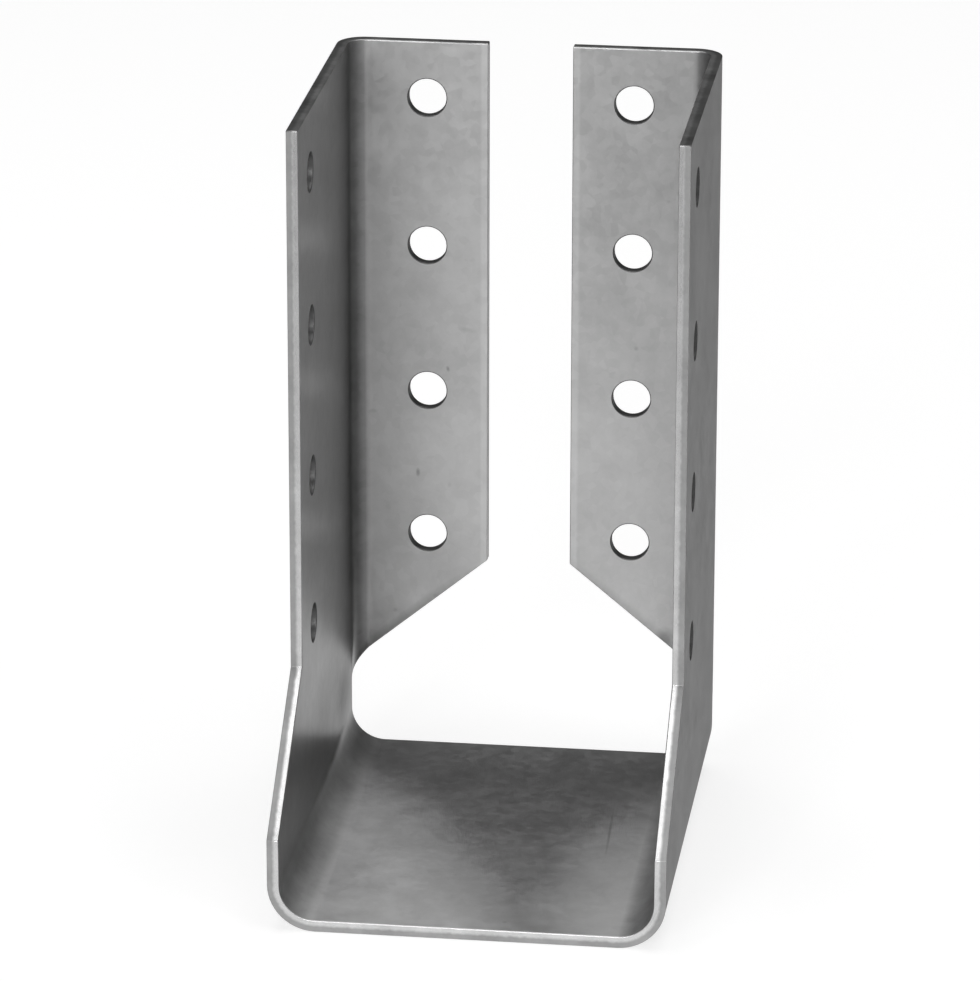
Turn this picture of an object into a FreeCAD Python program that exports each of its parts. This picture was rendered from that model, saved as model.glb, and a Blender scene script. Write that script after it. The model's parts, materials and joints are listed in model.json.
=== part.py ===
import FreeCAD, Part
import math
import os

import Sketcher
from FreeCAD import Vector

# Concealed-flange joist hanger, folded from one steel sheet.
# X runs across the joist, -Y is the way the joist comes out, +Y is the header and Z is up.
# The body is drawn with the header face at Y 0 and the seat's underside at Z 0, then centred on its box.

# Driving sizes in millimetres and degrees
SIZES = {
    "sheet_thickness": 1.5,
    "joist_width": 47.0,          # clear width between the two sides
    "hanger_height": 98.0,        # seat's underside to the top edges
    "seat_depth": 65.0,           # header face to the seat's front edge
    "side_depth": 45.0,           # header face to the sides' upper front edge
    "slope_top_height": 27.5,     # where the sides' front edge starts to slope forward
    "slope_foot_height": 12.0,    # where that slope meets the seat's front edge line
    "seat_bend_radius": 4.5,      # inside radius of the folds along the seat
    "flange_bend_radius": 2.0,    # inside radius of the folds along the flanges
    "shear_rollover": 0.2,        # rounding that the shear leaves along the sheet's inside edges
    "flange_gap": 11.0,           # between the two flanges' free edges
    "flange_edge_foot": 27.0,     # where a free edge ends and its lower corner is cut away
    "flange_fold_foot": 10.25,    # where that cut, carried round the fold, meets the side's back edge
    "hole_diameter": 5.0,
    "hole_pitch": 20.0,
    "hole_rows": 4,
    "flange_hole_inset": 8.0,     # hole centre from a flange's free edge
    "flange_hole_drop": 7.5,      # top hole centre below the top edge
    "side_hole_inset": 9.5,       # hole centre behind a side's upper front edge
    "side_hole_drop": 8.0,        # top hole centre below the top edge
}

# Lengths that follow from the driving sizes, as expressions
HALF_WIDTH = "Sizes.joist_width / 2"
HALF_GAP = "Sizes.flange_gap / 2"
BEND_SETBACK = "(Sizes.flange_bend_radius + Sizes.sheet_thickness)"
FLANGE_BEND_X = "(Sizes.joist_width / 2 - Sizes.flange_bend_radius)"
# The corner cut is one straight line on the flat sheet, so it drops as much for each millimetre of the
# fold, measured along the middle of the sheet, as it does for each millimetre of the flange
BEND_LENGTH = "(pi / 2 * (Sizes.flange_bend_radius + Sizes.sheet_thickness / 2))"
CORNER_SLOPE = (f"((Sizes.flange_edge_foot - Sizes.flange_fold_foot)"
                f" / ({FLANGE_BEND_X} - {HALF_GAP} + {BEND_LENGTH}))")
CORNER_DROP = f"({CORNER_SLOPE} * {BEND_LENGTH})"
CORNER_AT_BEND = f"(Sizes.flange_fold_foot + {CORNER_DROP})"
PATTERN_HEIGHT = "(Sizes.hole_pitch * (Sizes.hole_rows - 1))"
# The cut round the fold reaches past both faces of the sheet by this share of the fold's inside radius
CUT_OVERLAP = 0.1
FOLD_CUT_INNER = f"(Sizes.flange_bend_radius * {1 - CUT_OVERLAP})"
FOLD_CUT_OUTER = f"(Sizes.flange_bend_radius * {1 + CUT_OVERLAP} + Sizes.sheet_thickness)"

QUARTER_TURN = 90.0
SKETCH_ORIGIN = (-1, 1)
SKETCH_X_AXIS = -1
START, END, CENTRE = 1, 2, 3
TOLERANCE = 1e-6    # millimetres, for telling faces and edges apart


def make_sheet(doc):
    sheet = doc.addObject("Spreadsheet::Sheet", "Sizes")
    for row, (name, value) in enumerate(SIZES.items(), start=1):
        sheet.set(f"A{row}", name)
        sheet.set(f"B{row}", str(value))
        sheet.setAlias(f"B{row}", name)
    doc.recompute()
    return sheet


def number(owner, expression):
    return float(owner.evalExpression(expression))


def add_sketch(body, name, plane, **offsets):
    sketch = body.newObject("Sketcher::SketchObject", name)
    sketch.AttachmentSupport = (origin_feature(body, plane), "")
    sketch.MapMode = "FlatFace"
    for axis, expression in offsets.items():
        sketch.setExpression(f"AttachmentOffset.Base.{axis}", expression)
    return sketch


def origin_feature(body, role):
    return next(f for f in body.Origin.OriginFeatures if f.Role == role)


def add_line(sketch, start, end):
    return sketch.addGeometry(Part.LineSegment(Vector(*start), Vector(*end)))


def add_quarter(sketch, centre, radius, start_angle):
    circle = Part.Circle(Vector(*centre), Vector(0, 0, 1), radius)
    start, end = math.radians(start_angle), math.radians(start_angle + QUARTER_TURN)
    return sketch.addGeometry(Part.ArcOfCircle(circle, start, end))


def relate(sketch, kind, *references):
    sketch.addConstraint(Sketcher.Constraint(kind, *references))


def dimension(sketch, name, expression, kind, *references):
    value = number(sketch, expression)
    index = sketch.addConstraint(Sketcher.Constraint(kind, *references, value))
    sketch.renameConstraint(index, name)
    sketch.setExpression(f"Constraints.{name}", expression)


def close_outline(sketch, lines):
    for line, following in zip(lines, lines[1:] + lines[:1]):
        relate(sketch, "Coincident", line, END, following, START)


def draw_trough_section(sketch):
    """Half of the seat, one fold and one side, seen from the front."""
    half, thick, radius, height = (
        number(sketch, e)
        for e in (HALF_WIDTH, "Sizes.sheet_thickness", "Sizes.seat_bend_radius", "Sizes.hanger_height")
    )
    bend_x, bend_z = half - radius, thick + radius
    underside = add_line(sketch, (0, 0), (bend_x, 0))
    outer_bend = add_quarter(sketch, (bend_x, bend_z), radius + thick, -QUARTER_TURN)
    outer_side = add_line(sketch, (half + thick, bend_z), (half + thick, height))
    top_edge = add_line(sketch, (half + thick, height), (half, height))
    inner_side = add_line(sketch, (half, height), (half, bend_z))
    inner_bend = add_quarter(sketch, (bend_x, bend_z), radius, -QUARTER_TURN)
    seat = add_line(sketch, (bend_x, thick), (0, thick))
    middle = add_line(sketch, (0, thick), (0, 0))
    relate(sketch, "Coincident", underside, START, *SKETCH_ORIGIN)
    relate(sketch, "Tangent", underside, END, outer_bend, START)
    relate(sketch, "Tangent", outer_bend, END, outer_side, START)
    relate(sketch, "Coincident", outer_side, END, top_edge, START)
    relate(sketch, "Coincident", top_edge, END, inner_side, START)
    relate(sketch, "Tangent", inner_side, END, inner_bend, END)
    relate(sketch, "Tangent", inner_bend, START, seat, START)
    relate(sketch, "Coincident", seat, END, middle, START)
    relate(sketch, "Coincident", middle, END, underside, START)
    relate(sketch, "Coincident", inner_bend, CENTRE, outer_bend, CENTRE)
    for level in (underside, seat, top_edge):
        relate(sketch, "Horizontal", level)
    for upright in (outer_side, inner_side, middle):
        relate(sketch, "Vertical", upright)
    dimension(sketch, "thickness", "Sizes.sheet_thickness", "DistanceY", middle, END, middle, START)
    dimension(sketch, "half_width", HALF_WIDTH, "DistanceX", *SKETCH_ORIGIN, inner_side, START)
    dimension(sketch, "height", "Sizes.hanger_height", "DistanceY", *SKETCH_ORIGIN, top_edge, START)
    dimension(sketch, "bend", "Sizes.seat_bend_radius", "Radius", inner_bend)


def draw_side_outline(sketch):
    """What is cut away in front of a side: its upright front edge and the slope out to the seat."""
    side, seat, slope_top, slope_foot, height = (
        number(sketch, f"Sizes.{name}")
        for name in ("side_depth", "seat_depth", "slope_top_height", "slope_foot_height", "hanger_height")
    )
    corners = [(-side, height), (-side, slope_top), (-seat, slope_foot), (-seat, height)]
    upright, slope, seat_line, top = (
        add_line(sketch, start, end) for start, end in zip(corners, corners[1:] + corners[:1])
    )
    close_outline(sketch, [upright, slope, seat_line, top])
    relate(sketch, "Vertical", upright)
    relate(sketch, "Vertical", seat_line)
    relate(sketch, "Horizontal", top)
    dimension(sketch, "side_depth", "Sizes.side_depth", "DistanceX", slope, START, *SKETCH_ORIGIN)
    dimension(sketch, "seat_depth", "Sizes.seat_depth", "DistanceX", slope, END, *SKETCH_ORIGIN)
    dimension(sketch, "slope_top", "Sizes.slope_top_height", "DistanceY", *SKETCH_ORIGIN, slope, START)
    dimension(sketch, "slope_foot", "Sizes.slope_foot_height", "DistanceY", *SKETCH_ORIGIN, slope, END)
    dimension(sketch, "height", "Sizes.hanger_height", "DistanceY", *SKETCH_ORIGIN, top, END)


def draw_flange_section(sketch):
    """One flange and its fold, seen from above, up to the back edge of the side."""
    half, half_gap, thick, radius = (
        number(sketch, e) for e in (HALF_WIDTH, HALF_GAP, "Sizes.sheet_thickness", "Sizes.flange_bend_radius")
    )
    bend_x, bend_y = half - radius, -(radius + thick)
    header_face = add_line(sketch, (half_gap, 0), (bend_x, 0))
    outer_bend = add_quarter(sketch, (bend_x, bend_y), radius + thick, 0)
    side_end = add_line(sketch, (half + thick, bend_y), (half, bend_y))
    inner_bend = add_quarter(sketch, (bend_x, bend_y), radius, 0)
    front_face = add_line(sketch, (bend_x, -thick), (half_gap, -thick))
    free_edge = add_line(sketch, (half_gap, -thick), (half_gap, 0))
    relate(sketch, "Tangent", header_face, END, outer_bend, END)
    relate(sketch, "Coincident", outer_bend, START, side_end, START)
    relate(sketch, "Coincident", side_end, END, inner_bend, START)
    relate(sketch, "Tangent", inner_bend, END, front_face, START)
    relate(sketch, "Coincident", front_face, END, free_edge, START)
    relate(sketch, "Coincident", free_edge, END, header_face, START)
    relate(sketch, "Coincident", inner_bend, CENTRE, outer_bend, CENTRE)
    relate(sketch, "Horizontal", outer_bend, CENTRE, outer_bend, START)
    for level in (header_face, side_end, front_face):
        relate(sketch, "Horizontal", level)
    relate(sketch, "Vertical", free_edge)
    relate(sketch, "PointOnObject", header_face, START, SKETCH_X_AXIS)
    dimension(sketch, "thickness", "Sizes.sheet_thickness", "DistanceY", free_edge, START, free_edge, END)
    dimension(sketch, "half_gap", HALF_GAP, "DistanceX", *SKETCH_ORIGIN, free_edge, END)
    dimension(sketch, "half_width", HALF_WIDTH, "DistanceX", *SKETCH_ORIGIN, side_end, END)
    dimension(sketch, "bend", "Sizes.flange_bend_radius", "Radius", inner_bend)


def draw_flange_corner(sketch):
    """The lower corner cut from the flat of a flange, seen from the front."""
    half_gap, bend_x, edge_foot, at_bend = (
        number(sketch, e) for e in (HALF_GAP, FLANGE_BEND_X, "Sizes.flange_edge_foot", CORNER_AT_BEND)
    )
    corners = [(bend_x, at_bend), (half_gap, edge_foot), (half_gap, 0), (bend_x, 0)]
    slope, free_side, bottom, bend_side = (
        add_line(sketch, start, end) for start, end in zip(corners, corners[1:] + corners[:1])
    )
    close_outline(sketch, [slope, free_side, bottom, bend_side])
    relate(sketch, "Vertical", free_side)
    relate(sketch, "Vertical", bend_side)
    relate(sketch, "PointOnObject", bottom, START, SKETCH_X_AXIS)
    relate(sketch, "PointOnObject", bottom, END, SKETCH_X_AXIS)
    dimension(sketch, "half_gap", HALF_GAP, "DistanceX", *SKETCH_ORIGIN, slope, END)
    dimension(sketch, "bend_start", FLANGE_BEND_X, "DistanceX", *SKETCH_ORIGIN, slope, START)
    dimension(sketch, "edge_foot", "Sizes.flange_edge_foot", "DistanceY", *SKETCH_ORIGIN, slope, END)
    dimension(sketch, "at_bend", CORNER_AT_BEND, "DistanceY", *SKETCH_ORIGIN, slope, START)


def draw_fold_section(sketch):
    """A radial section of the corner cut where it runs on round the fold, with the fold's axis as Y axis."""
    inner, outer, top = (number(sketch, e) for e in (FOLD_CUT_INNER, FOLD_CUT_OUTER, CORNER_AT_BEND))
    corners = [(inner, 0), (outer, 0), (outer, top), (inner, top)]
    bottom, outside, top_edge, inside = (
        add_line(sketch, start, end) for start, end in zip(corners, corners[1:] + corners[:1])
    )
    close_outline(sketch, [bottom, outside, top_edge, inside])
    relate(sketch, "PointOnObject", bottom, START, SKETCH_X_AXIS)
    relate(sketch, "Horizontal", bottom)
    relate(sketch, "Horizontal", top_edge)
    relate(sketch, "Vertical", outside)
    relate(sketch, "Vertical", inside)
    dimension(sketch, "inner_reach", FOLD_CUT_INNER, "DistanceX", *SKETCH_ORIGIN, bottom, START)
    dimension(sketch, "outer_reach", FOLD_CUT_OUTER, "DistanceX", *SKETCH_ORIGIN, bottom, END)
    dimension(sketch, "top", CORNER_AT_BEND, "DistanceY", *SKETCH_ORIGIN, top_edge, START)


def draw_hole(sketch, x_expression, z_expression, forward=1):
    """A nail hole of the top row; forward is -1 where the sketch's X runs the other way."""
    centre = Vector(forward * number(sketch, x_expression), number(sketch, z_expression))
    radius = number(sketch, "Sizes.hole_diameter / 2")
    hole = sketch.addGeometry(Part.Circle(centre, Vector(0, 0, 1), radius))
    ends = (*SKETCH_ORIGIN, hole, CENTRE) if forward > 0 else (hole, CENTRE, *SKETCH_ORIGIN)
    dimension(sketch, "across", x_expression, "DistanceX", *ends)
    dimension(sketch, "height", z_expression, "DistanceY", *SKETCH_ORIGIN, hole, CENTRE)
    dimension(sketch, "diameter", "Sizes.hole_diameter", "Diameter", hole)


def add_pad(body, name, sketch, length):
    pad = body.newObject("PartDesign::Pad", name)
    pad.Profile = sketch
    pad.setExpression("Length", length)
    return pad


def add_pocket(body, name, sketch, length=None):
    """A cut along the sketch's own direction, to a length or through all."""
    pocket = body.newObject("PartDesign::Pocket", name)
    pocket.Profile = sketch
    pocket.Reversed = True
    if length:
        pocket.setExpression("Length", length)
    else:
        pocket.Type = "ThroughAll"
    return pocket


def add_hole_rows(body, name, pocket):
    pattern = body.newObject("PartDesign::LinearPattern", name)
    pattern.Originals = [pocket]
    pattern.Direction = (origin_feature(body, "Z_Axis"), [""])
    pattern.Reversed = True
    pattern.setExpression("Length", PATTERN_HEIGHT)
    pattern.setExpression("Occurrences", "Sizes.hole_rows")
    body.Tip = pattern
    return pattern


def is_inside_face(owner, face):
    """Whether a face is on the inside of the folds: the seat's, a side's or a flange's face, or a bend's."""
    if isinstance(face.Surface, Part.Cylinder):
        bends = (number(owner, f"Sizes.{fold}_bend_radius") for fold in ("seat", "flange"))
        return any(math.isclose(face.Surface.Radius, radius) for radius in bends)
    half, thick = number(owner, HALF_WIDTH), number(owner, "Sizes.sheet_thickness")
    levels = ((Vector(-1, 0, 0), -half), (Vector(0, -1, 0), thick), (Vector(0, 0, 1), thick))
    return any(
        face.normalAt(0, 0).isEqual(way, TOLERANCE) and abs(face.CenterOfMass.dot(way) - level) < TOLERANCE
        for way, level in levels
    )


def add_rollover(body, name, sheet_half):
    """Rounds the inside edges of the half sheet, apart from the short one where a cut runs round a fold."""
    shape = sheet_half.Shape
    sheared = {
        f"Edge{count}": edge
        for count, edge in enumerate(shape.Edges, start=1)
        if sum(is_inside_face(body, face) for face in shape.ancestorsOfType(edge, Part.Face)) == 1
        and edge.CenterOfMass.x > TOLERANCE
    }
    # The rounding runs on by itself from an arc into the lines beside it, so those aren't named
    arcs = {key: edge for key, edge in sheared.items() if isinstance(edge.Curve, Part.Circle)}
    lines = {
        key: edge
        for key, edge in sheared.items()
        if isinstance(edge.Curve, Part.Line)
        and all(edge.distToShape(arc)[0] > TOLERANCE for arc in arcs.values())
    }
    rollover = body.newObject("PartDesign::Fillet", name)
    rollover.Base = (sheet_half, [*arcs, *lines])
    rollover.setExpression("Radius", "Sizes.shear_rollover")
    return rollover


def make_hanger(doc):
    body = doc.addObject("PartDesign::Body", "Hanger")
    body.Label = "joist_hanger"

    # Header flange and its fold, with the lower corner cut off and the cut carried round the fold
    flange_section = add_sketch(body, "FlangeSection", "XY_Plane", z="Sizes.flange_fold_foot")
    draw_flange_section(flange_section)
    add_pad(body, "Flange", flange_section, "Sizes.hanger_height - Sizes.flange_fold_foot")

    flange_corner = add_sketch(body, "FlangeCorner", "XZ_Plane")
    draw_flange_corner(flange_corner)
    add_pocket(body, "CornerCut", flange_corner, "Sizes.sheet_thickness")

    fold_section = add_sketch(body, "FoldSection", "YZ_Plane", x=f"-{BEND_SETBACK}", z=FLANGE_BEND_X)
    draw_fold_section(fold_section)
    fold_cut = body.newObject("PartDesign::SubtractiveHelix", "FoldCut")
    fold_cut.Profile = fold_section
    fold_cut.ReferenceAxis = (fold_section, ["V_Axis"])
    fold_cut.Mode = "height-turns-angle"
    fold_cut.setExpression("Height", CORNER_DROP)
    fold_cut.Turns = QUARTER_TURN / 360.0
    fold_cut.Reversed = True

    # Side and half of the seat, from the flange's fold forward
    trough_section = add_sketch(body, "TroughSection", "XZ_Plane", z=BEND_SETBACK)
    draw_trough_section(trough_section)
    add_pad(body, "Trough", trough_section, f"Sizes.seat_depth - {BEND_SETBACK}")

    side_outline = add_sketch(body, "SideOutline", "YZ_Plane")
    draw_side_outline(side_outline)
    side_front = add_pocket(body, "SideFront", side_outline)

    # The sheared edges, picked from the shape so far, and the holes punched after them
    doc.recompute()
    add_rollover(body, "Rollover", side_front)

    flange_hole = add_sketch(body, "FlangeHole", "XZ_Plane")
    draw_hole(
        flange_hole,
        f"{HALF_GAP} + Sizes.flange_hole_inset",
        "Sizes.hanger_height - Sizes.flange_hole_drop",
    )
    add_hole_rows(body, "FlangeHoles", add_pocket(body, "FlangePunch", flange_hole, "Sizes.sheet_thickness"))

    side_hole = add_sketch(body, "SideHole", "YZ_Plane")
    draw_hole(
        side_hole,
        "Sizes.side_depth - Sizes.side_hole_inset",
        "Sizes.hanger_height - Sizes.side_hole_drop",
        forward=-1,
    )
    add_hole_rows(body, "SideHoles", add_pocket(body, "SidePunch", side_hole))

    # The other half; the mirror reads the finished half, so that is worked out first
    doc.recompute()
    whole = body.newObject("PartDesign::Mirrored", "Whole")
    whole.TransformMode = "Whole shape"
    whole.MirrorPlane = (origin_feature(body, "YZ_Plane"), [""])
    body.Tip = whole
    body.setExpression("Placement.Base.y", "Sizes.seat_depth / 2")
    return body


def check(doc, bodies):
    doc.recompute()
    failed = [o.Name for o in doc.Objects if "Invalid" in o.State or "Error" in o.State]
    if failed:
        raise RuntimeError("failed: " + ", ".join(failed))
    for body in bodies:
        if body.Shape.isNull() or not body.Shape.isValid() or len(body.Shape.Solids) != 1:
            raise RuntimeError(f"{body.Label} isn't one valid solid")


def main():
    doc = FreeCAD.newDocument("JoistHanger")
    make_sheet(doc)
    bodies = [make_hanger(doc)]
    check(doc, bodies)
    os.makedirs("parts", exist_ok=True)
    for body in bodies:
        body.Shape.exportStep(f"parts/{body.Label}.step")
        box = body.Shape.optimalBoundingBox()
        print(f"{body.Label}: {box.XLength:.2f} x {box.YLength:.2f} x {box.ZLength:.2f} mm, "
              f"{body.Shape.Volume:.1f} cubic mm, {len(body.Shape.Faces)} faces")


main()
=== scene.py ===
# Joist hanger folded from galvanised sheet, standing on a pale studio floor
import bmesh
import bpy
import json
from math import copysign, cos, pi, radians, sin
from mathutils import Matrix, Vector


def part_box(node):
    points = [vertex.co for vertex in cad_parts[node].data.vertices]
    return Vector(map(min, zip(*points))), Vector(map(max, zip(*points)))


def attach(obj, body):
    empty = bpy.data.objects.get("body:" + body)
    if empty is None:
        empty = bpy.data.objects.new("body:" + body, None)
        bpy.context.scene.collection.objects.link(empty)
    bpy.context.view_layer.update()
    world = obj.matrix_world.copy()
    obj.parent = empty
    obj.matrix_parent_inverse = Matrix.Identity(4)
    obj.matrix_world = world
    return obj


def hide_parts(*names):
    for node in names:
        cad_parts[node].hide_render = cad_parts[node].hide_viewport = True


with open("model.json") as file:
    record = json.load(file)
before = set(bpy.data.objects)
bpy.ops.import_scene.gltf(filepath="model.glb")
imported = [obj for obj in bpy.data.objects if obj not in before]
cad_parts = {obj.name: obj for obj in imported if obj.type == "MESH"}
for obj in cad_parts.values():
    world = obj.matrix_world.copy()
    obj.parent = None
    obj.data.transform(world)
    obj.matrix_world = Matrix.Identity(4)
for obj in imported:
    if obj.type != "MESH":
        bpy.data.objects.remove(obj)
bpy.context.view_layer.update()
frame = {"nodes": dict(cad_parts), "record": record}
boxLow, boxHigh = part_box("joist_hanger")
mm = 0.001
print("frame loaded:", sorted(frame["nodes"]))

# The blank and its folds, in millimetres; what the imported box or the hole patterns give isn't repeated here
hanger = {
    "thick": 1.5,
    "seatBend": 4.5,        # inside radius of the folds along the seat
    "flangeBend": 2.0,      # inside radius of the folds along the flanges
    "flangeGap": 11.0,      # between the flanges' free edges
    "sideDepth": 45.0,      # header face to the sides' upper front edge
    "slopeTop": 27.5,       # the sides' front edge slopes forward from this height
    "slopeFoot": 12.0,      # down to this one
    "edgeFoot": 27.0,       # the flanges' free edges end here
    "foldFoot": 10.25,      # their corner cut runs down to here, round the fold
    "seatBendSteps": 14,
    "flangeBendSteps": 10,
    "holeSteps": 48,
    "holeRoom": 4.2,        # half side of the square of mesh round a hole
    "slack": 0.01,          # how far off that square its edges are still looked for
    "weld": 1e-4,           # points nearer than this are one
    "flush": 1e-5,          # and this near a face of the sheet they lie on it
    # roundings of the blank's square corners and its blunt ones, by how many degrees the outline turns there
    "corner": {"turn": (60, 180), "size": 0.15, "segments": 4},
    "kink": {"turn": (40, 60), "size": 0.08, "segments": 1},
    # a sheared edge's two rims: on the punch's side, which is the inside of the folds, and on the other
    "rollOver": {"size": 0.14, "segments": 4},
    "burr": {"size": 0.07, "segments": 2},
    "rimTurn": 60,          # degrees that the faces beside a rim differ by at least
    # a face counts as coated if its normal is this upright: the coat runs over rounded rims,
    # but not in the holes or along the top
    "coated": {"rounded": 0.5, "sharp": 0.99},
    # how painted shade and reflection, together with the coat's crazing, darken the coat across a fold's turn,
    # which goes from 0 to 1
    "seatCrazeAndShade": {"start": 0, "rise": 4, "end": 1, "fall": 4, "most": 1},
    "flangeCrazeAndShade": {"start": 0.06, "rise": 3, "end": 1.1, "fall": 5, "most": 1.08},
}
finishes = ("inside", "outside", "sheared", "punched", "cropped")       # the sheet's materials, in their order

# Where the folds start and end on the flat blank: u runs from front to back and on over the flange,
# v from the middle of the seat out and up the side
front, back, top = boxLow.y / mm, boxHigh.y / mm, boxHigh.z / mm
halfInside = boxHigh.x / mm - hanger["thick"]
seatEnd = halfInside - hanger["seatBend"]
seatArc = pi / 2 * (hanger["seatBend"] + hanger["thick"] / 2)
sideStart = seatEnd + seatArc
bendTop = hanger["thick"] + hanger["seatBend"]
sideBack = back - hanger["thick"] - hanger["flangeBend"]
flangeArc = pi / 2 * (hanger["flangeBend"] + hanger["thick"] / 2)
flangeStart = sideBack + flangeArc
flangeBendX = halfInside - hanger["flangeBend"]
flangeEnd = flangeStart + flangeBendX - hanger["flangeGap"] / 2
sideFront = back - hanger["sideDepth"]


def upSide(height):     # a height above the floor as a distance up the blank
    return sideStart + height - bendTop


def foldPoint(u, v, depth):     # a point of the blank, depth below its inside face, where the folds put it
    away, y = abs(v), u
    if away <= seatEnd:
        x, z = away, hanger["thick"] - depth
    elif away <= sideStart:
        turn = (away - seatEnd) / seatArc * pi / 2
        x = seatEnd + (hanger["seatBend"] + depth) * sin(turn)
        z = bendTop - (hanger["seatBend"] + depth) * cos(turn)
    else:
        x, z = halfInside + depth, bendTop + away - sideStart
        turn = min(max(u - sideBack, 0) / flangeArc, 1) * pi / 2
        if turn > 0:
            x = flangeBendX + (hanger["flangeBend"] + depth) * cos(turn) - max(u - flangeStart, 0)
            y = sideBack + (hanger["flangeBend"] + depth) * sin(turn)
    return Vector((x if v >= 0 else -x, y, z)) * mm


def holeCentres():      # the right half's nail holes on the blank, from the record's hole patterns
    for mount in frame["record"]["mounts"]:
        if mount["kind"] != "bolt_pattern" or mount["axis"][0] < 0:
            continue
        dims = mount["dims"]
        middle = Vector(mount["pos_m"]) / mm
        u = middle.y if mount["axis"][0] else flangeStart + flangeBendX - dims["spacing_x_mm"] / 2
        for way in (-1, 1):
            yield u, upSide(middle.z + way * dims["spacing_y_mm"] / 2), dims["hole_r_mm"]


def wholeBlank(u, v):
    return True


def onSidePanel(u, v):
    return u < sideBack and v > sideStart


def onFlangePanel(u, v):
    return u > flangeStart


def behindSide(u, v):
    return u > sideBack


def aheadOfSide(u, v):
    return u < sideFront


def cutLine(bm, at, normal, where=wholeBlank, clear=False):     # clear also takes away what lies beyond
    at, normal = Vector((*at, 0)), Vector((*normal, 0))
    faces = [f for f in bm.faces if where(*f.calc_center_median().xy)]
    geom = list({part for f in faces for part in (f, *f.edges, *f.verts)})
    bmesh.ops.bisect_plane(bm, geom=geom, dist=hanger["weld"], plane_co=at, plane_no=normal)
    if clear:
        beyond = [f for f in bm.faces if where(*f.calc_center_median().xy)
                  and (f.calc_center_median() - at).dot(normal) > 0]
        bmesh.ops.delete(bm, geom=beyond, context="FACES")


def punchHole(bm, u, v, radius):
    room, steps = hanger["holeRoom"], hanger["holeSteps"]
    panel = onFlangePanel if u > flangeStart else onSidePanel
    for way in (-1, 1):
        cutLine(bm, (u + way * room, v), (1, 0), panel)
        cutLine(bm, (u, v + way * room), (0, 1), panel)
    cell = min(bm.faces, key=lambda f: (f.calc_center_median().xy - Vector((u, v))).length)
    sides = cell.edges[:]
    bmesh.ops.delete(bm, geom=[cell], context="FACES_ONLY")
    bmesh.ops.subdivide_edges(bm, edges=sides, cuts=steps // 4 - 1)

    def onSquare(e):
        middle = (e.verts[0].co + e.verts[1].co) / 2
        return e.is_boundary and max(abs(middle.x - u), abs(middle.y - v)) < room + hanger["slack"]

    square = [e for e in bm.edges if onSquare(e)]
    lift = Vector((0, 0, 1))        # the rim is bridged from off the blank, so that the loops pair up
    place = Matrix.Translation(Vector((u, v, 0)) + lift)
    ring = bmesh.ops.create_circle(bm, segments=steps, radius=radius, matrix=place)["verts"]
    rim = list({e for vert in ring for e in vert.link_edges})
    bmesh.ops.bridge_loops(bm, edges=square + rim)
    bmesh.ops.translate(bm, verts=ring, vec=-lift)


def flatBlank():
    bm = bmesh.new()
    corners = [(front, 0), (flangeEnd, 0), (flangeEnd, upSide(top)), (front, upSide(top))]
    bm.faces.new([bm.verts.new((*c, 0)) for c in corners])
    for step in range(hanger["seatBendSteps"] + 1):
        cutLine(bm, (0, seatEnd + seatArc * step / hanger["seatBendSteps"]), (0, 1))
    cutLine(bm, (sideFront, 0), (1, 0))
    for step in range(hanger["flangeBendSteps"] + 1):
        cutLine(bm, (sideBack + flangeArc * step / hanger["flangeBendSteps"], 0), (1, 0))
    cutLine(bm, (sideBack + flangeArc * hanger["flangeCrazeAndShade"]["end"], 0), (1, 0))
    # the window under the flange with its slanting corner, then the side's sloping front edge
    fall = Vector((flangeEnd - sideBack, hanger["edgeFoot"] - hanger["foldFoot"]))
    foldFoot = (sideBack, upSide(hanger["foldFoot"]))
    cutLine(bm, foldFoot, (fall.y, -fall.x), behindSide, clear=True)
    slope = Vector((sideFront - front, hanger["slopeTop"] - hanger["slopeFoot"]))
    slopeTop = (sideFront, upSide(hanger["slopeTop"]))
    cutLine(bm, slopeTop, (-slope.y, slope.x), aheadOfSide, clear=True)
    for hole in holeCentres():
        punchHole(bm, *hole)
    bmesh.ops.mirror(bm, geom=bm.verts[:] + bm.edges[:] + bm.faces[:], merge_dist=hanger["weld"], axis="Y")
    bmesh.ops.remove_doubles(bm, verts=bm.verts, dist=hanger["weld"])
    return bm


def shearEdges(bm):     # thickness, then the rounded and the sharp rim that shearing leaves
    thick = hanger["thick"]
    grown = bmesh.ops.extrude_face_region(bm, geom=bm.faces[:])["geom"]
    outside = [g for g in grown if isinstance(g, bmesh.types.BMVert)]
    bmesh.ops.translate(bm, verts=outside, vec=(0, 0, thick))
    bmesh.ops.recalc_face_normals(bm, faces=bm.faces)
    bm.normal_update()

    def bevel(edges, rounding):
        bmesh.ops.bevel(bm, geom=edges, offset=rounding["size"], offset_type="OFFSET",
                        segments=rounding["segments"], profile=0.5, affect="EDGES", material=-1,
                        clamp_overlap=False)

    for rounding in (hanger["corner"], hanger["kink"]):
        least, most = (radians(angle) for angle in rounding["turn"])
        upright = [e for e in bm.edges if abs((e.verts[0].co - e.verts[1].co).z) > thick / 2
                   and least < e.calc_face_angle(0) < most]
        bevel(upright, rounding)
    for level, rounding in ((0, hanger["rollOver"]), (thick, hanger["burr"])):
        rim = [e for e in bm.edges if all(abs(v.co.z - level) < hanger["flush"] for v in e.verts)
               and e.calc_face_angle(0) > radians(hanger["rimTurn"])]
        bevel(rim, rounding)


def foldCrazeAndShade(u, v):       # how much painted shade and reflection, partly the coat's crazing, darken a spot of the blank along a fold, 0 away from the folds
    turn, mark = (abs(v) - seatEnd) / seatArc, hanger["seatCrazeAndShade"]
    if turn > 1:
        turn, mark = (u - sideBack) / flangeArc, hanger["flangeCrazeAndShade"]
    rise, fall = mark["rise"] * (turn - mark["start"]), mark["fall"] * (mark["end"] - turn)
    return max(min(rise, fall, mark["most"]), 0)


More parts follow.
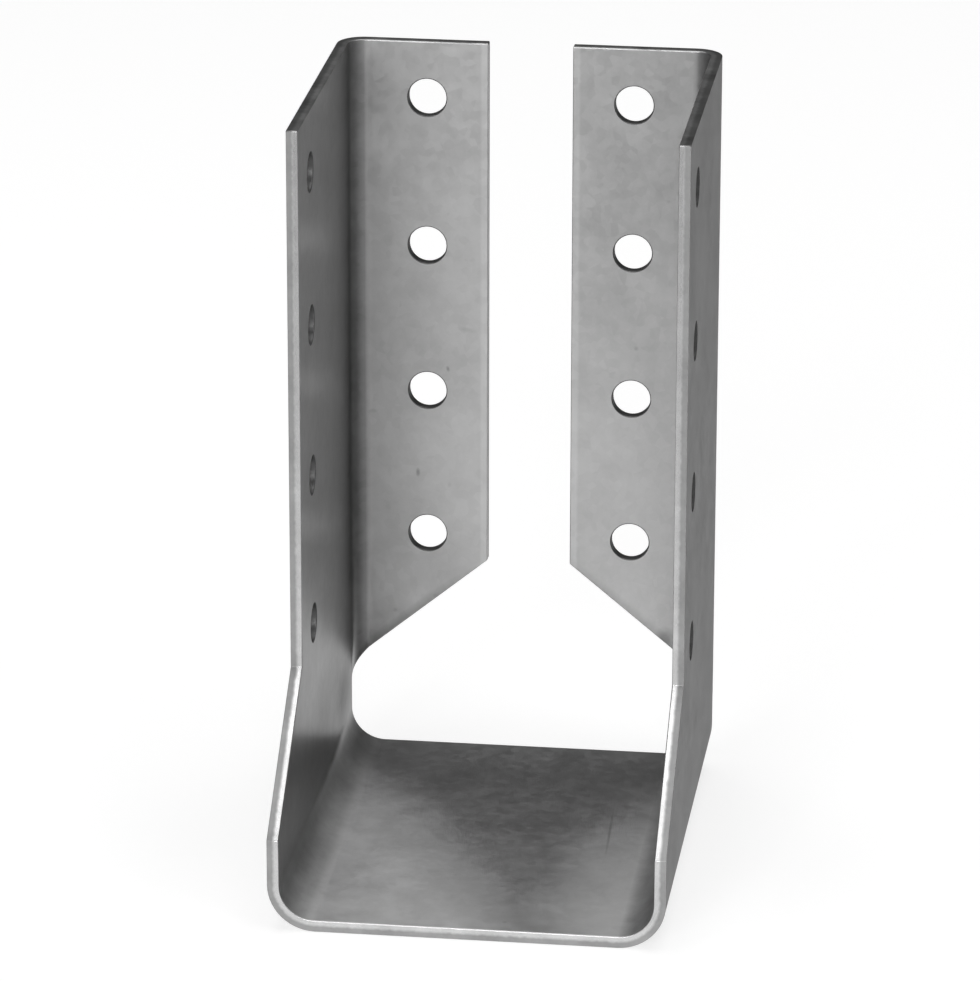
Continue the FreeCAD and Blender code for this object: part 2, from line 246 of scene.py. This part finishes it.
def finishOf(face, holes):      # which of the finishes a face of the flat sheet has
    place = face.calc_center_median().xy
    rim = hanger["rollOver"]["size"]
    inHole = any((place - centre).length < radius + rim for centre, radius in holes)
    atTop = abs(place.y) > upSide(top) - rim
    if abs(face.normal.z) > hanger["coated"]["sharp" if inHole or atTop else "rounded"]:
        return "outside" if face.normal.z > 0 else "inside"
    return "punched" if inHole else "cropped" if atTop else "sheared"


def makeHanger():
    bm = flatBlank()
    shearEdges(bm)
    bm.normal_update()
    mesh = bpy.data.meshes.new("hanger_sheet")
    blank = bm.loops.layers.uv.new("blank")
    depth = bm.verts.layers.float.new("depth")
    folded = bm.verts.layers.float.new("folded")
    holes = [(Vector((u, way * v)), radius) for u, v, radius in holeCentres() for way in (-1, 1)]
    for face in bm.faces:
        face.smooth = True
        face.material_index = finishes.index(finishOf(face, holes))
        for loop in face.loops:
            loop[blank].uv = loop.vert.co.xy * mm
    for vert in bm.verts:
        vert[depth] = vert.co.z / hanger["thick"]
        # painted fold shade and reflection, partly the coat's crazing, kept for each point
        vert[folded] = foldCrazeAndShade(*vert.co.xy)
        vert.co = foldPoint(*vert.co)
    bmesh.ops.recalc_face_normals(bm, faces=bm.faces)
    bm.to_mesh(mesh)
    bm.free()
    piece = bpy.data.objects.new("hanger_sheet", mesh)
    bpy.context.scene.collection.objects.link(piece)
    piece.modifiers.new("even normals", "WEIGHTED_NORMAL").keep_sharp = True
    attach(piece, "root")
    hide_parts("joist_hanger")
    return piece


sheet = makeHanger()
print("hanger folded:", len(sheet.data.polygons), "faces")

# Zinc on the sheet's faces, shinier inside the folds than on the die's side; the weak mirroring at a flat
# angle, weakest outside, is painted shade that darkens what the faces reflect. Lengths are in metres unless a
# note says otherwise
zinc = {
    "inside": {"colour": (0.45, 0.58), "roughness": (0.28, 0.38), "grazing": 0.47, "crazedAndShaded": 1},
    "outside": {"colour": (0.46, 0.57), "roughness": (0.4, 0.5), "grazing": 0.1, "crazedAndShaded": 0.4},
    "metal": 0.93,
    # the joist has rubbed the seat rougher, apart from a fan that narrows from the back edge to the front; the
    # same zone is painted paler, painted light standing in for soft pools of lamp light
    "scuffAndPaintedLight": {"along": (0.012, -0.03), "middle": (0, 0.006), "half": (0.016, 0.0035), "soft": 0.0065,
              "least": 0.12, "start": (0.028, 0.009), "across": (-0.004, 0.012), "right": 0.45,
              "ahead": (0, -0.03), "front": 0.62, "upBend": 0.7, "uneven": (0.8, 1.2),
              "rough": 0.3, "pale": 0.17},
    "crazedAndShaded": {"pale": -0.2, "rough": 0.18},        # along the folds: the darkening is painted shade and reflection, partly the coat's crazing where the folds stretched it; the roughness is that crazing
    # inside, the sides slid along the punch and are evenly smooth, this many millimetres from their plane
    "rubbed": {"within": (0.25, 0.05), "rough": -0.1},
    "flange": {"rough": 0.06, "pale": -0.015},      # duller than the rest of the inside
    "cloud": {"size": 0.009, "detail": 5, "broken": 0.72, "range": (0.3, 0.7)},
    "cloudShare": {"pale": 0.7, "rough": 0.4},      # the crystals have the rest
    "crystal": 0.0011,
    "grain": {"perMetre": 5200, "detail": 2, "height": 2e-6},
    # the radius, where a speck starts to fade and where it ends, is a share of how far apart they are
    "speck": {"apart": 0.0045, "radius": (0.03, 0.09), "share": 0.25, "pale": -0.09},
    "paintedEdgeHighlight": {"reach": (0.0011, 0.00077), "pale": 0.06},    # painted highlight along the flanges' free edges, where their shallow rounded rims catch the light
    "markCore": 0.3,            # share of a mark's size that has its full shade
}
cornerSlant = 39.5              # of the flanges' slanting corners on the blank, degrees


def onFlange(x, z):     # a place on a flange, on the blank
    return flangeStart + flangeBendX - abs(x), copysign(upSide(z), x)


def onLeftSide(ahead, z):       # a place on the left side, so far ahead of its fold, on the blank
    return sideBack - ahead, -upSide(z)


# Spots, a scratch and patches of painted light and shade on the inside face, in millimetres and degrees on the
# blank
marksAndPaintedLight = [
    # specks and smudges on the left flange
    {"at": onFlange(-14.8, 39.0), "size": (0.35, 0.7), "turn": 0, "pale": -0.2},
    {"at": onFlange(-10.8, 53.6), "size": (0.28, 0.5), "turn": -15, "pale": -0.17},
    {"at": onFlange(-8.3, 59.1), "size": (1.5, 0.45), "turn": 8, "pale": -0.06},
    {"at": onFlange(-20.8, 47.3), "size": (0.9, 0.35), "turn": -10, "pale": -0.06},
    {"at": onFlange(-10.6, 37.4), "size": (0.35, 0.45), "turn": 0, "pale": -0.06},
    # painted light and shade: the paler patches low on the left flange stand in for light reflected from the
    # floor in front, the darker ones on the right flange and the left side for darker reflections and the
    # shadow at the window's back corner
    {"at": onFlange(-17.5, 20.0), "size": (8, 10), "turn": 0, "pale": 0.11},
    {"at": onFlange(-10, 36), "size": (12, 14), "turn": 0, "pale": 0.05},
    {"at": onFlange(14, 85), "size": (20, 36), "turn": 0, "pale": -0.08},
    {"at": onLeftSide(20, 13), "size": (26, 9), "turn": 0, "pale": -0.14},
    {"at": onLeftSide(7, 10.5), "size": (7.5, 5), "turn": 0, "pale": -0.18},
    # painted shade along the flanges' slanting corners, where their rounded rims turn away from the light
    {"at": onFlange(-16.7, 17.8), "size": (13, 1.3), "turn": -cornerSlant, "pale": -0.16},
    {"at": onFlange(13.6, 20.3), "size": (14, 1.3), "turn": cornerSlant, "pale": -0.11},
    {"at": onFlange(18.4, 16.9), "size": (1.5, 2), "turn": 0, "pale": -0.18},
    # a scratch along the seat
    {"at": (0.5, 14.4), "size": (8.5, 0.24), "turn": -2.5, "pale": -0.12},
]
# Colour and roughness of a cut where the punch slid along it and where the rest of the thickness broke away
edge = {
    "sheared": {"burnished": (0.63, 0.27), "torn": (0.36, 0.54), "patchy": (0.8, 1.1)},
    "punched": {"burnished": (0.16, 0.45), "torn": (0.1, 0.6), "patchy": (0.85, 1.1)},      # in the holes; their dark colour is painted shade on the hole walls
    "cropped": {"burnished": (0.4, 0.34), "torn": (0.22, 0.36), "patchy": (0.6, 1.5)},      # along the top; the darker colour is painted shade and dark reflection, the patchy stretches vary at random
    "tornFrom": 0.46,           # share of the thickness that the punch cut cleanly
    "blend": 0.12,              # half width of the border between the two
    "ragged": 0.05,             # how far that border wanders
    "metal": 0.93,
    "grazing": 0.5,
    "cloud": 0.006,             # metres, as the next two
    "streak": 0.0009,
    "height": 4e-6,
    "streakRange": (0.3, 0.7),
}


def addNode(tree, kind, **values):
    node = tree.nodes.new("ShaderNode" + kind)
    for name, value in values.items():
        setattr(node, name, value)
    return node


def mapRange(tree, value, low, high, toLow, toHigh):
    node = addNode(tree, "MapRange")
    for name, number in (("From Min", low), ("From Max", high), ("To Min", toLow), ("To Max", toHigh)):
        node.inputs[name].default_value = number
    tree.links.new(value, node.inputs["Value"])
    return node.outputs["Result"]


def combine(tree, operation, first, second):
    node = addNode(tree, "Math", operation=operation)
    for socket, value in zip(node.inputs, (first, second)):
        if isinstance(value, (int, float)):
            socket.default_value = value
        else:
            tree.links.new(value, socket)
    return node.outputs[0]


def addPart(tree, value, part, amount):
    return combine(tree, "ADD", value, combine(tree, "MULTIPLY", part, amount))


def grey(tree, value):
    node = addNode(tree, "CombineColor")
    for socket in node.inputs:
        tree.links.new(value, socket)
    return node.outputs[0]


def inSpace(tree):
    return addNode(tree, "TexCoord").outputs["Object"]


def onBlank(tree):
    return addNode(tree, "UVMap", uv_map="blank").outputs["UV"]


def axes(tree, place):
    node = addNode(tree, "SeparateXYZ")
    tree.links.new(place, node.inputs[0])
    return node.outputs


def firstOf(tree, colour):      # one channel of a texture's random colours
    node = addNode(tree, "SeparateColor")
    tree.links.new(colour, node.inputs[0])
    return node.outputs[0]


def zincGroup():        # clouds, crystal flecks, fine grain and specks, for every zinc surface
    tree = bpy.data.node_groups.new("zinc bloom", "ShaderNodeTree")
    for name in ("Cloud Scale", "Fleck Scale"):
        tree.interface.new_socket(name, in_out="INPUT", socket_type="NodeSocketFloat")
    for name in ("Cloud", "Fleck", "Grain", "Speck"):
        tree.interface.new_socket(name, in_out="OUTPUT", socket_type="NodeSocketFloat")
    given, result = tree.nodes.new("NodeGroupInput"), tree.nodes.new("NodeGroupOutput")
    place = inSpace(tree)
    cloud = addNode(tree, "TexNoise")
    cloud.inputs["Detail"].default_value = zinc["cloud"]["detail"]
    cloud.inputs["Roughness"].default_value = zinc["cloud"]["broken"]
    fleck = addNode(tree, "TexVoronoi", feature="F1")
    speck = addNode(tree, "TexVoronoi", feature="F1")
    speck.inputs["Scale"].default_value = 1 / zinc["speck"]["apart"]
    grain = addNode(tree, "TexNoise")
    grain.inputs["Scale"].default_value = zinc["grain"]["perMetre"]
    grain.inputs["Detail"].default_value = zinc["grain"]["detail"]
    for node in (cloud, fleck, speck, grain):
        tree.links.new(place, node.inputs["Vector"])
    tree.links.new(given.outputs["Cloud Scale"], cloud.inputs["Scale"])
    tree.links.new(given.outputs["Fleck Scale"], fleck.inputs["Scale"])
    chosen = combine(tree, "LESS_THAN", firstOf(tree, speck.outputs["Color"]), zinc["speck"]["share"])
    spot = mapRange(tree, speck.outputs["Distance"], *zinc["speck"]["radius"], 1, 0)
    puts = {
        "Cloud": mapRange(tree, cloud.outputs["Fac"], *zinc["cloud"]["range"], 0, 1),
        "Fleck": firstOf(tree, fleck.outputs["Color"]),
        "Grain": grain.outputs["Fac"],
        "Speck": combine(tree, "MULTIPLY", chosen, spot),
    }
    for name, value in puts.items():
        tree.links.new(value, result.inputs[name])
    return tree


def newMetal(name, metal, grazing, bloom, cloud, fleck):
    mat = bpy.data.materials.new(name)
    mat.use_nodes = True
    tree = mat.node_tree
    shader = tree.nodes["Principled BSDF"]
    shader.inputs["Metallic"].default_value = metal
    shader.inputs["Specular IOR Level"].default_value = 0
    shader.inputs["Specular Tint"].default_value = (grazing,) * 3 + (1,)    # its mirroring at a flat angle
    group = addNode(tree, "Group", node_tree=bloom)
    group.inputs["Cloud Scale"].default_value = 1 / cloud
    group.inputs["Fleck Scale"].default_value = 1 / fleck
    return mat, tree, shader, group.outputs


def addBump(tree, shader, height, distance):
    bump = addNode(tree, "Bump")
    bump.inputs["Strength"].default_value = 1
    bump.inputs["Distance"].default_value = distance
    tree.links.new(height, bump.inputs["Height"])
    tree.links.new(bump.outputs["Normal"], shader.inputs["Normal"])


def paintedLightAndMarks(tree):        # how much paler the spots, the painted light and shade patches and the painted highlight along a free edge make a place
    blank = onBlank(tree)
    near = [flangeEnd * mm - reach for reach in zinc["paintedEdgeHighlight"]["reach"]]
    shade = mapRange(tree, axes(tree, blank)["X"], *near, 0, zinc["paintedEdgeHighlight"]["pale"])
    for mark in marksAndPaintedLight:
        place = addNode(tree, "Mapping", vector_type="TEXTURE")
        place.inputs["Location"].default_value = Vector((*mark["at"], 0)) * mm
        place.inputs["Rotation"].default_value = (0, 0, radians(mark["turn"]))
        place.inputs["Scale"].default_value = Vector((*mark["size"], 1)) * mm
        tree.links.new(blank, place.inputs["Vector"])
        away = addNode(tree, "VectorMath", operation="LENGTH")
        tree.links.new(place.outputs[0], away.inputs[0])
        spot = mapRange(tree, away.outputs["Value"], zinc["markCore"], 1, mark["pale"], 0)
        shade = combine(tree, "ADD", shade, spot)
    return shade


def seatScuffAndPaintedLight(tree, cloud):     # how far a spot of the seat is rubbed dull, which also sets how much painted light makes it paler
    scuffAndPaintedLight = zinc["scuffAndPaintedLight"]
    place = axes(tree, inSpace(tree))
    middle = mapRange(tree, place["Y"], *scuffAndPaintedLight["along"], *scuffAndPaintedLight["middle"])
    half = mapRange(tree, place["Y"], *scuffAndPaintedLight["along"], *scuffAndPaintedLight["half"])
    aside = combine(tree, "ABSOLUTE", combine(tree, "SUBTRACT", place["X"], middle), 0)
    beyond = combine(tree, "SUBTRACT", aside, half)
    wornAndPaintedLight = mapRange(tree, beyond, -scuffAndPaintedLight["soft"], scuffAndPaintedLight["soft"], scuffAndPaintedLight["least"], 1)
    for fade in (mapRange(tree, place["Y"], *scuffAndPaintedLight["start"], 0, 1),
                 mapRange(tree, place["Y"], *scuffAndPaintedLight["ahead"], 1, scuffAndPaintedLight["front"]),
                 mapRange(tree, place["X"], *scuffAndPaintedLight["across"], 1, scuffAndPaintedLight["right"]),
                 mapRange(tree, place["Z"], hanger["thick"] * mm, bendTop * scuffAndPaintedLight["upBend"] * mm, 1, 0),
                 mapRange(tree, cloud, 0, 1, *scuffAndPaintedLight["uneven"])):
        wornAndPaintedLight = combine(tree, "MULTIPLY", wornAndPaintedLight, fade)
    return wornAndPaintedLight


def sideRub(tree):      # how much smoother the sides are, up to where their folds turn away
    near = [(halfInside - short) * mm for short in zinc["rubbed"]["within"]]
    aside = combine(tree, "ABSOLUTE", axes(tree, inSpace(tree))["X"], 0)
    return mapRange(tree, aside, *near, 0, zinc["rubbed"]["rough"])


def flangeShade(tree, wear):        # how the flanges differ from the rest, coming on across their folds
    along = axes(tree, onBlank(tree))["X"]
    return mapRange(tree, along, sideBack * mm, flangeStart * mm, 0, zinc["flange"][wear])


def zincMaterial(face, bloom):
    look = zinc[face]
    mat, tree, shader, out = newMetal("zinc " + face, zinc["metal"], look["grazing"], bloom,
                                      zinc["cloud"]["size"], zinc["crystal"])
    wornAndPaintedLight = seatScuffAndPaintedLight(tree, out["Cloud"])
    # the folded attribute carries painted fold shade and reflection as well as the coat's crazing
    folded = addNode(tree, "Attribute", attribute_name="folded").outputs["Fac"]
    for socket, ends, wear in (("Base Color", look["colour"], "pale"),
                               ("Roughness", look["roughness"], "rough")):
        share = zinc["cloudShare"][wear]
        cloud = combine(tree, "MULTIPLY", out["Cloud"], share)
        fleck = combine(tree, "MULTIPLY", out["Fleck"], 1 - share)
        value = mapRange(tree, combine(tree, "ADD", cloud, fleck), 0, 1, *ends)
        value = addPart(tree, value, wornAndPaintedLight, zinc["scuffAndPaintedLight"][wear])
        value = addPart(tree, value, folded, zinc["crazedAndShaded"][wear] * look["crazedAndShaded"])
        if face == "inside":
            value = combine(tree, "ADD", value, flangeShade(tree, wear))
            # the inside coat's colour takes the painted light and shade patches, the painted edge highlight
            # and the spots
            value = combine(tree, "ADD", value, paintedLightAndMarks(tree) if wear == "pale" else sideRub(tree))
        if wear == "pale":
            value = grey(tree, addPart(tree, value, out["Speck"], zinc["speck"]["pale"]))
        else:
            value = combine(tree, "MAXIMUM", value, ends[0])        # rubbing makes nothing smoother than that
        tree.links.new(value, shader.inputs[socket])
    addBump(tree, shader, out["Grain"], zinc["grain"]["height"])
    return mat


def edgeMaterial(cut, bloom):
    look = edge[cut]
    mat, tree, shader, out = newMetal(cut + " edge", edge["metal"], edge["grazing"], bloom,
                                      edge["cloud"], edge["streak"])
    streak = addNode(tree, "TexNoise")
    streak.inputs["Scale"].default_value = 1 / edge["streak"]
    tree.links.new(onBlank(tree), streak.inputs["Vector"])
    depth = addNode(tree, "Attribute", attribute_name="depth").outputs["Fac"]
    wander = mapRange(tree, streak.outputs["Fac"], *edge["streakRange"], -edge["ragged"], edge["ragged"])
    border = [edge["tornFrom"] + way * edge["blend"] for way in (-1, 1)]
    torn = mapRange(tree, combine(tree, "ADD", depth, wander), *border, 0, 1)
    colour, rough = (mapRange(tree, torn, 0, 1, *ends) for ends in zip(look["burnished"], look["torn"]))
    shade = mapRange(tree, out["Cloud"], 0, 1, *look["patchy"])
    tree.links.new(grey(tree, combine(tree, "MULTIPLY", colour, shade)), shader.inputs["Base Color"])
    tree.links.new(rough, shader.inputs["Roughness"])
    addBump(tree, shader, streak.outputs["Fac"], edge["height"])
    return mat


bloom = zincGroup()
for finish in finishes:
    makeFinish = zincMaterial if finish in zinc else edgeMaterial
    sheet.data.materials.append(makeFinish(finish, bloom))
print("zinc and sheared edges done")

# Pale floor whose colour and glow are painted to fall off to grey away from the lit middle, a painted pool of
# light, with a low upturned rim
studio = {
    "radius": 2.5,
    "rim": 0.2,
    "rimSegments": 8,
    "spinSteps": 96,
    "weld": 1e-5,
    "colour": 0.45,
    "roughness": 0.9,
    "glow": 0.67,               # for the camera and in reflections
    "litMiddle": (0, 0.35, 0),
    "litReach": (0.4, 0.72),
    "dim": 0.35,                # share of the colour and the glow that is left beyond that
    "world": 0.09,
}


def floorMaterial():
    mat = bpy.data.materials.new("pale floor")
    mat.use_nodes = True
    tree = mat.node_tree
    shader = tree.nodes["Principled BSDF"]
    away = addNode(tree, "VectorMath", operation="DISTANCE")
    away.inputs[1].default_value = studio["litMiddle"]
    tree.links.new(inSpace(tree), away.inputs[0])
    # painted pool of light: colour and glow dim away from the middle
    lit = mapRange(tree, away.outputs["Value"], *studio["litReach"], 1, studio["dim"])
    colour = grey(tree, combine(tree, "MULTIPLY", lit, studio["colour"]))
    tree.links.new(colour, shader.inputs["Base Color"])
    shader.inputs["Roughness"].default_value = studio["roughness"]
    shader.inputs["Specular IOR Level"].default_value = 0
    shader.inputs["Emission Color"].default_value = (studio["glow"],) * 3 + (1,)
    path = addNode(tree, "LightPath").outputs
    seen = path["Is Camera Ray"]
    for ray in ("Is Glossy Ray", "Is Transmission Ray"):
        seen = combine(tree, "MAXIMUM", seen, path[ray])
    tree.links.new(combine(tree, "MULTIPLY", seen, lit), shader.inputs["Emission Strength"])
    return mat


def makeFloor():
    bm = bmesh.new()
    radius, rim = studio["radius"], studio["rim"]
    line = [bm.verts.new(p) for p in ((0, 0, 0), (radius, 0, 0), (radius, 0, rim))]
    for pair in zip(line, line[1:]):
        bm.edges.new(pair)
    bmesh.ops.bevel(bm, geom=[line[1]], offset=rim / 2, segments=studio["rimSegments"], profile=0.5,
                    affect="VERTICES", material=-1)
    bmesh.ops.spin(bm, geom=bm.verts[:] + bm.edges[:], axis=(0, 0, 1), cent=(0, 0, 0), angle=2 * pi,
                   steps=studio["spinSteps"], use_merge=True)
    bmesh.ops.remove_doubles(bm, verts=bm.verts, dist=studio["weld"])
    bmesh.ops.recalc_face_normals(bm, faces=bm.faces)
    mesh = bpy.data.meshes.new("floor")
    bm.to_mesh(mesh)
    bm.free()
    floor = bpy.data.objects.new("floor", mesh)
    bpy.context.scene.collection.objects.link(floor)
    floor.data.materials.append(floorMaterial())


makeFloor()

# Soft light: a large box overhead, one in front and one to each side, all turned to the hanger's middle
lamps = {
    "overhead": {"at": (0, 0.22, 1.2), "size": 1.0, "power": 8},
    "front": {"at": (-0.1, -1.25, 0.5), "size": 0.8, "power": 9.5},
    "left": {"at": (-1.1, -0.6, 0.8), "size": 0.8, "power": 1.8},
    "right": {"at": (1.1, -0.6, 0.8), "size": 0.8, "power": 3.2},
}
lampAim = Vector((0, 0, 0.05))


def addLamp(name, lamp):
    light = bpy.data.lights.new(name, "AREA")
    light.shape = "SQUARE"
    light.size = lamp["size"]
    light.energy = lamp["power"]
    box = bpy.data.objects.new(name, light)
    box.location = lamp["at"]
    box.rotation_euler = (lampAim - box.location).to_track_quat("-Z", "Y").to_euler()
    bpy.context.scene.collection.objects.link(box)


for name, lamp in lamps.items():
    addLamp(name, lamp)
world = bpy.data.worlds.new("studio")
bpy.context.scene.world = world
world.use_nodes = True
world.node_tree.nodes["Background"].inputs["Color"].default_value = (studio["world"],) * 3 + (1,)

# Camera as the photograph was taken, in degrees and millimetres
shot = {
    "azimuth": 7.299,
    "elevation": 19.495,
    "roll": 0.123,
    "distance": 768.617,
    "target": (-2.167, 7.5, 45.241),
    "focalPixels": 5990.54,
    "pixels": 981,              # the longer side of the picture
    "sensor": 36,
    "nearest": 10,
}


def addCamera():
    a, e = radians(shot["azimuth"]), radians(shot["elevation"])
    away = Vector((sin(a) * cos(e), -cos(a) * cos(e), sin(e)))
    data = bpy.data.cameras.new("camera")
    data.sensor_width = shot["sensor"]
    data.lens = shot["focalPixels"] / shot["pixels"] * data.sensor_width
    data.clip_start = shot["nearest"] * mm
    camera = bpy.data.objects.new("camera", data)
    facing = (-away).to_track_quat("-Z", "Y").to_matrix().to_4x4()
    roll = Matrix.Rotation(radians(shot["roll"]), 4, "Z")
    place = Matrix.Translation(Vector(shot["target"]) * mm + away * shot["distance"] * mm)
    camera.matrix_world = place @ facing @ roll
    bpy.context.scene.collection.objects.link(camera)
    bpy.context.scene.camera = camera


addCamera()
bpy.context.scene.view_settings.view_transform = "Standard"
print("stage set")
